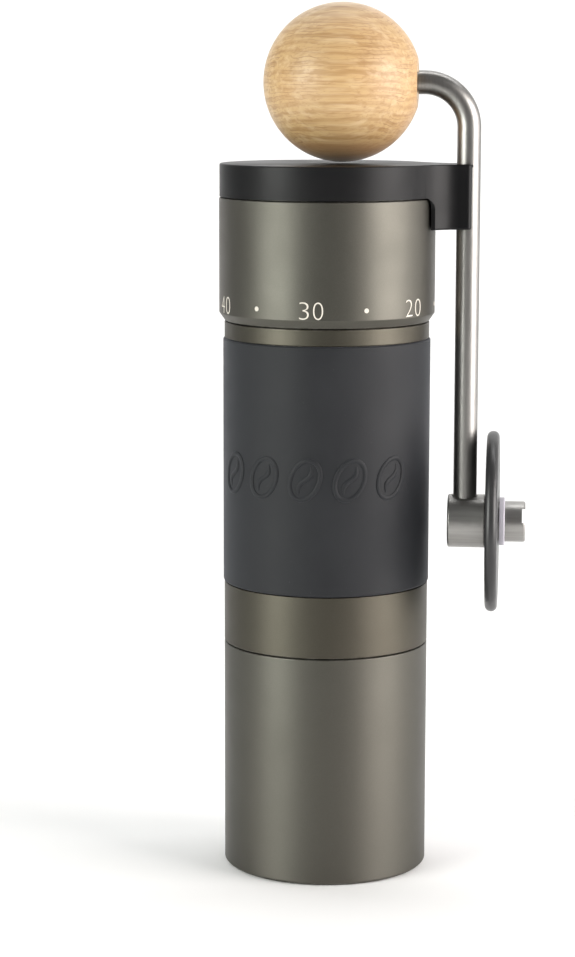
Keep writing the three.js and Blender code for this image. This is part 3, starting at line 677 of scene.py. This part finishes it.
def digit_mesh(text):
    """Flat outline mesh of one digit, scaled to the dial's digit size."""
    curve = bpy.data.curves.new("digit", "FONT")
    curve.body = text
    curve.extrude = 0.05
    curve.offset = STROKE_OFFSET
    curve.resolution_u = 6
    holder = bpy.data.objects.new("digit", curve)
    bpy.context.scene.collection.objects.link(holder)
    depsgraph = bpy.context.evaluated_depsgraph_get()
    mesh = bpy.data.meshes.new_from_object(holder.evaluated_get(depsgraph))
    bpy.data.objects.remove(holder)
    xs = [v.co.x for v in mesh.vertices]
    ys = [v.co.y for v in mesh.vertices]
    width = NARROW_DIGIT if text == "1" else DIGIT_WIDTH
    wide = width / (max(xs) - min(xs))
    tall = NUMERAL_HEIGHT / (max(ys) - min(ys))
    points = [((v.co.x - min(xs)) * wide, (v.co.y - min(ys)) * tall, v.co.z)
              for v in mesh.vertices]
    return points, [list(p.vertices) for p in mesh.polygons]


def wrapped(points, faces, angle, radius):
    """Points of a flat mark bent round the dial; depth in front is RAISED."""
    bent = []
    for x, y, depth in points:
        r = radius + (RAISED if depth > 0 else -SUNK)
        a = angle + x / radius
        bent.append((r * math.cos(a), r * math.sin(a), MARK_Z + y))
    return bent, faces


def dial_marks():
    points, faces = [], []

    def add(shape):
        start = len(points)
        points.extend(shape[0])
        faces.extend([[start + i for i in face] for face in shape[1]])

    digits = {d: digit_mesh(d) for d in "012345"}
    dot_sides = 24
    click_turn = 2 * math.pi / (NUMERAL_STEPS * CLICKS_APART)
    for step in range(NUMERAL_STEPS):
        number = str(CLICKS_APART * step)
        angle = FRONT_ANGLE - click_turn * (CLICKS_APART * step - FRONT_NUMERAL)
        widths = [NARROW_DIGIT if digit == "1" else DIGIT_WIDTH for digit in number]
        left = -(sum(widths) + (len(number) - 1) * DIGIT_GAP) / 2
        for digit, width in zip(number, widths):
            shape, shape_faces = digits[digit]
            moved = [(x + left, y - NUMERAL_HEIGHT / 2, z) for x, y, z in shape]
            add(wrapped(moved, shape_faces, angle, DIAL_R))
            left += width + DIGIT_GAP
        rim = [(DOT_R * math.cos(2 * math.pi * k / dot_sides),
                DOT_R * math.sin(2 * math.pi * k / dot_sides)) for k in range(dot_sides)]
        dot = [(x, y, 1) for x, y in rim] + [(x, y, -1) for x, y in rim]
        sides = [[k + dot_sides, (k + 1) % dot_sides + dot_sides, (k + 1) % dot_sides, k]
                 for k in range(dot_sides)]
        front = list(range(dot_sides))
        back = list(range(2 * dot_sides - 1, dot_sides - 1, -1))
        add(wrapped(dot, [front, back, *sides], angle - DOT_TURN, DIAL_R))
    return mesh_piece("dial_marks", points, faces, weighted=False)


# -------------------------------------------------------------------------------- cap

ARM_ROOT = math.radians(30)
ARM_LEAD = 2.6
ARM_HALF_WIDTH = 8.6
CLIP_HALF_WIDTH = 5.5
CLIP_SLOT_R = 3.25
ARM_TIP_X = 33.5           # where the arm's flanks become the clip's fingers
ARM_WAIST_X = 29.0
FLANK_CUT_X = (22.5, 42.0)
FLANK_CUT_Y = 22.0
FLANK_FILLET = 2.8
CEILING_Z = 179.3
SKIRT_R = 25.8
WALL_STEPS, FLANK_STEPS, LIP_STEPS, SLOT_STEPS = 220, 28, 14, 30


def bezier(a, b, c, d, steps):
    points = []
    for k in range(1, steps + 1):
        t = k / steps
        s = 1 - t
        weighted = list(zip((s ** 3, 3 * s * s * t, 3 * s * t * t, t ** 3), (a, b, c, d)))
        points.append(tuple(sum(w * p[i] for w, p in weighted) for i in (0, 1)))
    return points


def circle_points(x, y, radius, start, end, steps, first=1):
    return [(x + radius * math.cos(start + (end - start) * k / steps),
             y + radius * math.sin(start + (end - start) * k / steps))
            for k in range(first, steps + 1)]


def cap_outline():
    """Cap and arm from above, anticlockwise: round wall, arm, clip fingers and slot."""
    lip_r = (CLIP_HALF_WIDTH - CLIP_SLOT_R) / 2
    lip_x = CAP_HIGH.x - lip_r
    lip_y = CLIP_SLOT_R + lip_r
    root = (CAP_R * math.cos(ARM_ROOT), CAP_R * math.sin(ARM_ROOT))
    lead = (root[0] + ARM_LEAD * math.sin(ARM_ROOT), root[1] - ARM_LEAD * math.cos(ARM_ROOT))
    tip = (ARM_TIP_X, CLIP_HALF_WIDTH)
    upper = [tip, (ARM_WAIST_X, CLIP_HALF_WIDTH + 0.4), lead, root]
    lower = [(x, -y) for x, y in upper[::-1]]
    quarter = math.pi / 2
    points = circle_points(0, 0, CAP_R, ARM_ROOT, 2 * math.pi - ARM_ROOT, WALL_STEPS, first=0)
    points += bezier(*lower, FLANK_STEPS)
    points += circle_points(lip_x, -lip_y, lip_r, -quarter, quarter, LIP_STEPS, first=0)
    points += circle_points(ROD_X, 0, CLIP_SLOT_R, -quarter, -3 * quarter, SLOT_STEPS, first=0)
    points += circle_points(lip_x, lip_y, lip_r, -quarter, quarter, LIP_STEPS, first=0)
    points.append(tip)
    points += bezier(*upper, FLANK_STEPS)[:-1]
    spaced = []
    for p in points:
        if not spaced or math.dist(p, spaced[-1]) > 0.02:
            spaced.append(p)
    return spaced


def flank_cutter(side):
    """Room beside the hanging arm: its top corner leaves a fillet under the skirt."""
    low = CAP_LOW.z - 2
    corners = [[ARM_HALF_WIDTH, low], [FLANK_CUT_Y, low], [FLANK_CUT_Y, CAP_SKIRT_Z],
               [ARM_HALF_WIDTH, CAP_SKIRT_Z, FLANK_FILLET]]
    profile = rounded(corners, True)
    if side < 0:
        profile = [Vector((-y, z)) for y, z in profile][::-1]
    count = len(profile)
    points = [(x, y, z) for x in FLANK_CUT_X for y, z in profile]
    faces = [[k, k + count, (k + 1) % count + count, (k + 1) % count] for k in range(count)]
    faces += [list(range(count)), list(range(2 * count - 1, count - 1, -1))]
    piece = mesh_piece("flank_cutter", points, faces, weighted=False)
    work = bmesh.new()
    work.from_mesh(piece.data)
    bmesh.ops.recalc_face_normals(work, faces=work.faces)
    work.to_mesh(piece.data)
    work.free()
    return piece


def storage_cap():
    cap = prism("cap_shell", cap_outline(), CAP_LOW.z, CAP_HIGH.z, edge=0.4, edge_low=0.5)
    dial_room_r = DIAL_R + 0.6
    below = CAP_LOW.z - 1
    dial_room = lathe("dial_room", [[0, below], [dial_room_r, below],
                                    [dial_room_r, CAP_SKIRT_Z], [0, CAP_SKIRT_Z]])
    cap = joined(cap, dial_room, "DIFFERENCE")
    for side in (1, -1):
        cap = joined(cap, flank_cutter(side), "DIFFERENCE")
    rim_room = lathe("rim_room", [[0, CAP_SKIRT_Z - 1], [SKIRT_R, CAP_SKIRT_Z - 1],
                                  [SKIRT_R, CEILING_Z, 0.6], [0, CEILING_Z]])
    cap = joined(cap, rim_room, "DIFFERENCE")
    nib_r, nib_y = 0.5, -4.4
    nib_low, nib_high = CAP_HIGH.z - 0.75, CAP_HIGH.z - 0.02
    points, faces = turned_shape([[0, nib_low], [nib_r, nib_low, 0.15],
                                  [nib_r, nib_high, 0.15], [0, nib_high]], 24)
    nib = mesh_piece("nib", [(x + CAP_HIGH.x - 0.2, y + nib_y, z) for x, y, z in points], faces)
    return cleaned(joined(cap, nib, "UNION"))


# ------------------------------------------------------------------------------ crank

def crank_rod():
    """Turned straight and then bent: heights past the bend's start run round it to -X."""
    bend_r = 11.25
    bend_steps = 40
    bend_start = KNOB_Z - bend_r
    bend_length = bend_r * math.pi / 2
    level_start = bend_start + bend_length
    pin_r = 2.5
    shoulder = level_start + ROD_X - bend_r - (BALL_HIGH.x + 0.25)
    end = level_start + ROD_X - bend_r - ROD_LOW.x
    rows = [[ROD_R, bend_start + bend_length * k / bend_steps]
            for k in range(bend_steps + 1)]
    points, faces = turned_shape([
        [0, ROD_LOW.z], [ROD_R, ROD_LOW.z, 0.4], *rows, [ROD_R, shoulder], [pin_r, shoulder],
        [pin_r, end, 0.4], [0, end],
    ], 64)
    bent = []
    for x, y, length in points:
        turn = min(max((length - bend_start) / bend_r, 0.0), math.pi / 2)
        after = max(length - level_start, 0.0)
        before = min(length, bend_start)
        bent.append((ROD_X - bend_r + (bend_r + x) * math.cos(turn) - after, y,
                     before + (bend_r + x) * math.sin(turn)))
    return mesh_piece("crank_bar", bent, faces)


SOCKET_ACROSS_FLATS = 7.2
SOCKET_END_X = 40.3
LID_RIM_R = 1.45


def hex_prism_x(across_flats, start, end):
    corner_r = across_flats / 2 / math.cos(math.pi / 6)
    ring = [(corner_r * math.cos(math.pi / 3 * k), corner_r * math.sin(math.pi / 3 * k))
            for k in range(6)]
    points = [(x, y, HUB_Z + z) for x in (start, end) for z, y in ring]
    faces = [[k, (k + 1) % 6, (k + 1) % 6 + 6, k + 6] for k in range(6)]
    faces += [list(range(5, -1, -1)), list(range(6, 12))]
    return mesh_piece("socket_cutter", points, faces, weighted=False)


def mouth_notch():
    """Bar across the socket's mouth, where two of its chamfered corners break out."""
    depth, half_height, reach, raised = 0.85, 2.05, 7.0, 1.4
    turn = Matrix.Rotation(math.radians(-13), 3, "X")
    points = []
    for x in (HUB_HIGH.x - depth, HUB_HIGH.x + 1):
        for y, z in ((-reach, -half_height), (reach, -half_height), (reach, half_height),
                     (-reach, half_height)):
            points.append(turn @ Vector((x, y, z)) + Vector((0, 0, HUB_Z + raised)))
    faces = [[0, 3, 2, 1], [4, 5, 6, 7], [0, 1, 5, 4], [1, 2, 6, 5], [2, 3, 7, 6],
             [3, 0, 4, 7]]
    return mesh_piece("notch_cutter", points, faces, weighted=False)


def crank_hub():
    shoulder = LID_LOW.x - 0.3
    stem_r = 5.2
    hub = lathe_x("hub_body", [
        [0, HUB_LOW.x], [HUB_R, HUB_LOW.x, 0.55], [HUB_R, shoulder, 0.3],
        [stem_r, shoulder, 0.1], [stem_r, HUB_HIGH.x, 0.55], [3.9, HUB_HIGH.x, 0.25],
        [3.75, HUB_HIGH.x - 0.8], [0, HUB_HIGH.x - 0.8],
    ], z=HUB_Z)
    socket = hex_prism_x(SOCKET_ACROSS_FLATS, SOCKET_END_X, HUB_HIGH.x + 1)
    hub = joined(hub, socket, "DIFFERENCE")
    hub = joined(hub, mouth_notch(), "DIFFERENCE")
    hole_r = ROD_R + 0.08
    bottom = ROD_LOW.z - 0.3
    flare = 1.2
    flare_low = HUB_HIGH.z - 0.62
    points, faces = turned_shape([[0, bottom], [hole_r, bottom], [hole_r, flare_low],
                                  [hole_r + flare, flare_low + flare], [0, flare_low + flare]],
                                 64)
    hole = mesh_piece("rod_hole", [(x + ROD_X, y, z) for x, y, z in points], faces)
    return cleaned(joined(hub, hole, "DIFFERENCE"))


def lid_disc():
    bore = 5.5
    return lathe_x("lid_plate", [
        [bore, LID_LOW.x, 0.1], [LID_HIGH.y, LID_LOW.x, LID_RIM_R],
        [LID_HIGH.y, LID_HIGH.x, LID_RIM_R], [bore, LID_HIGH.x, 0.1],
    ], z=HUB_Z, sides=FINE)


def lid_collar():
    bore = 5.35
    collar_r = COLLAR_HIGH.y
    return lathe_x("collar_ring", [
        [bore, COLLAR_LOW.x, 0.1], [collar_r, COLLAR_LOW.x, 0.15],
        [collar_r, COLLAR_HIGH.x, 0.35], [bore, COLLAR_HIGH.x, 0.15],
    ], z=HUB_Z)


def knob_ball():
    bore_r = 4.7
    bore_end = -11.5
    flat_r = math.sqrt(KNOB_R ** 2 - KNOB_FLAT ** 2)
    last = math.atan2(KNOB_FLAT, flat_r)
    steps = 84
    rows = [[KNOB_R * math.cos(a), KNOB_R * math.sin(a)]
            for a in (-math.pi / 2 + (last + math.pi / 2) * k / steps for k in range(1, steps))]
    corners = [[0, -KNOB_R], *rows, [flat_r, KNOB_FLAT, 0.5], [bore_r, KNOB_FLAT, 0.3],
               [bore_r, bore_end], [0, bore_end]]
    return lathe_x("knob_wood", corners, x=KNOB_X, z=KNOB_Z, sides=FINE)


EASED_EDGE = 0.00012       # metres


def eased_copy(node):
    """Copy of a CAD piece with its edges eased and its turned faces smoothly shaded."""
    source = frame["nodes"][node]
    mesh = source.data.copy()
    mesh.name = node + "_eased"
    piece = bpy.data.objects.new(mesh.name, mesh)
    piece.matrix_world = source.matrix_world
    bpy.context.scene.collection.objects.link(piece)
    work = bmesh.new()
    work.from_mesh(mesh)
    bmesh.ops.remove_doubles(work, verts=work.verts, dist=WELD)
    work.to_mesh(mesh)
    work.free()
    if "spring" in node and "washer" not in node:
        mesh.shade_smooth()
        return piece
    bevel = piece.modifiers.new("bevel", "BEVEL")
    bevel.width = EASED_EDGE
    bevel.segments = 2
    bevel.limit_method = "ANGLE"
    bevel.angle_limit = SHARP
    shade(piece)
    return piece


# ---------------------------------------------------------------------- stage and camera

MIDDLE = (0.0, 0.0, 0.11)
VIEW_AZIMUTH = math.radians(4.616)
VIEW_DISTANCE = 0.6709
VIEW_HEIGHT = 0.2046
VIEW_HEADING = math.radians(4.616 + 0.853)
VIEW_PITCH = math.radians(-8.81)
VIEW_ROLL = math.radians(0.11)
LENS_MM = 98.97


def camera():
    data = bpy.data.cameras.new("camera")
    data.sensor_width = 36.0
    data.lens = LENS_MM
    data.clip_start = 0.01
    data.clip_end = 50.0
    made = bpy.data.objects.new("camera", data)
    made.location = (VIEW_DISTANCE * math.sin(VIEW_AZIMUTH),
                     -VIEW_DISTANCE * math.cos(VIEW_AZIMUTH), VIEW_HEIGHT)
    aim = (Matrix.Rotation(VIEW_HEADING, 4, "Z")
           @ Matrix.Rotation(math.pi / 2 + VIEW_PITCH, 4, "X")
           @ Matrix.Rotation(VIEW_ROLL, 4, "Z"))
    made.rotation_euler = aim.to_euler()
    bpy.context.scene.collection.objects.link(made)
    bpy.context.scene.camera = made


def softbox(name, place, aim, width, height, power, color):
    """Rectangular light at a place in metres, turned towards its aim."""
    data = bpy.data.lights.new(name, "AREA")
    data.shape = "RECTANGLE"
    data.size = width
    data.size_y = height
    data.energy = power
    data.color = color
    made = bpy.data.objects.new(name, data)
    made.location = place
    made.rotation_euler = (Vector(aim) - place).to_track_quat("-Z", "Y").to_euler()
    bpy.context.scene.collection.objects.link(made)


def around(azimuth_deg, elevation_deg, distance):
    """Place at a distance from the grinder's middle, azimuth 0 being straight in front."""
    a, e = math.radians(azimuth_deg), math.radians(elevation_deg)
    out = Vector((math.sin(a) * math.cos(e), -math.cos(a) * math.cos(e), math.sin(e)))
    return Vector(MIDDLE) + out * distance


def plain(name, color, roughness):
    material = bpy.data.materials.new(name)
    material.use_nodes = True
    surface = material.node_tree.nodes["Principled BSDF"]
    surface.inputs["Base Color"].default_value = (*color, 1.0)
    surface.inputs["Roughness"].default_value = roughness
    surface.inputs["Specular IOR Level"].default_value = 0.0
    return material


def floor_and_backdrop():
    """Pale floor that sweeps up behind the grinder, in millimetres."""
    reach, level, bend_y, bend_r, bend_steps, top = 2500.0, -0.1, 900.0, 500.0, 16, 1600.0
    sweep = [(-reach, level), (bend_y, level)]
    sweep += [(bend_y + bend_r * math.sin(a), level + bend_r * (1 - math.cos(a)))
              for a in (math.pi / 2 * k / bend_steps for k in range(1, bend_steps + 1))]
    sweep.append((bend_y + bend_r, top))
    points = [(x, y, z) for y, z in sweep for x in (-reach, reach)]
    faces = [[2 * k, 2 * k + 1, 2 * k + 3, 2 * k + 2] for k in range(len(sweep) - 1)]
    floor = mesh_piece("floor", points, faces, weighted=False)
    floor.data.materials.append(plain("floor_white", (0.86, 0.86, 0.86), 0.9))


WORLD_STRENGTH = 0.09


def world():
    made = bpy.data.worlds.new("studio")
    made.use_nodes = True
    background = made.node_tree.nodes["Background"]
    background.inputs["Color"].default_value = (1.0, 1.0, 1.0, 1.0)
    background.inputs["Strength"].default_value = WORLD_STRENGTH
    bpy.context.scene.world = made


def lights():
    white = (1.0, 1.0, 1.0)
    softbox("left_softbox", around(-50, 8, 0.9), MIDDLE, 0.48, 0.9, 11.6, (0.98, 1.0, 0.955))
    softbox("right_softbox", around(72, 8, 0.9), MIDDLE, 0.66, 0.9, 16.6, (1.0, 0.955, 0.93))
    softbox("right_rim", around(110, 8, 0.9), MIDDLE, 0.24, 0.9, 1.6, (1.0, 0.97, 0.96))
    softbox("left_rim", around(-135, 8, 0.9), MIDDLE, 0.24, 0.9, 0.2, white)
    softbox("front_fill", around(5, 50, 1.2), MIDDLE, 1.2, 0.6, 0.3, white)
    softbox("back_light", around(185, 50, 1.2), MIDDLE, 1.2, 0.6, 1.0, white)
    softbox("backdrop_light", Vector((0.0, 0.45, 1.5)), (0.0, 1.3, 0.2), 2.4, 0.4, 22, white)


def colour_view():
    scene = bpy.context.scene
    scene.view_settings.view_transform = "Standard"
    scene.view_settings.look = "None"


# --------------------------------------------------------------------------- the object

SLOT_OF = {part["node"]: part["material_slot"] for part in frame["record"]["subparts"]}
INNER_NODES = {
    "main_body": ["outer_burr", "burr_clamp_ring", "cup_seal_ring", "lower_bearing_bracket",
                  "lower_bearing", "spring_washer", "dial_retaining_ring",
                  "carrier_guide_pin_1", "carrier_guide_pin_2", "carrier_guide_pin_3",
                  "detent_ball_1", "detent_ball_2", "detent_spring_1", "detent_spring_2"],
    "carrier": ["bearing_carrier", "upper_bearing", "bearing_circlip"],
    "drive": ["drive_shaft", "inner_burr", "burr_washer", "burr_nut"],
    "cap": ["cap_seal_ring"],
    "crank": ["knob_clip"],
    "knob": ["knob_bush"],
}

# One metal in three copies: the dial's is painted lighter as painted light, and the shell's is
# painted darker as painted shade, slightly browner in tone.
cup_metal = anodised_metal("cup_metal", [CUP_LOW.z + 0.3, CUP_HIGH.z])
shell_metal = anodised_metal("shell_metal", [CUP_HIGH.z + 0.3, SLEEVE_LOW.z, SLEEVE_HIGH.z,
                                             DIAL_LOW.z - 0.3], (0.81, 0.775, 0.72))
dial_metal = anodised_metal("dial_metal", [DIAL_LOW.z, DIAL_SHOULDER_Z], (1.07, 1.06, 1.06))
rubber = silicone()
cap_plastic = black_plastic()
bar_steel = steel("crank_steel")
hub_steel = steel("hub_steel", (0.40, 0.392, 0.378), 0.38, 0.46, grain=(60, 1400, 1400))
inner_steel = steel("inner_steel", (0.50, 0.49, 0.475), 0.30, 0.38, grain=(60, 60, 2500))
burr_steel = steel("burr_steel", (0.40, 0.395, 0.385), 0.36, 0.46, grain=(500, 500, 500))

INNER_FINISH = {"bright_steel": inner_steel, "burr_steel": burr_steel, "silicone": rubber,
                "brass": brass()}

put(catch_cup(), "cup", cup_metal, ["catch_cup"])
put(body_shell(), "main_body", shell_metal, ["body_shell"])
put(grip_sleeve(), "main_body", rubber, ["grip_sleeve"])
put(sleeve_relief(), "main_body", rubber)
put(adjustment_dial(), "dial", dial_metal, ["adjustment_dial"])
put(dial_marks(), "dial", mark_paint())
put(storage_cap(), "cap", cap_plastic, ["storage_cap"])
put(crank_rod(), "crank", bar_steel, ["crank_rod"])
put(crank_hub(), "crank", hub_steel, ["crank_hub"])
put(lid_disc(), "lid",
    satin_plastic("lid_plastic", (0.022, 0.022, 0.0232), 0.32, 0.40), ["lid_disc"])
put(lid_collar(), "crank",
    satin_plastic("collar_plastic", (0.46, 0.445, 0.50)), ["lid_collar"])
put(knob_ball(), "knob", beech(), ["knob_ball"])

for body, nodes in INNER_NODES.items():
    for node in nodes:
        slot_name = SLOT_OF[node]
        put(eased_copy(node), body, INNER_FINISH[slot_name], [node])

# The preload spring stands on the body's washer and is pressed by the lifted carrier; its copy
# here belongs to no body and keeps its rest shape.
spring = put(eased_copy("preload_spring"), None, inner_steel,
             ["preload_spring"])
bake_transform(spring)

camera()
floor_and_backdrop()
world()
lights()
colour_view()
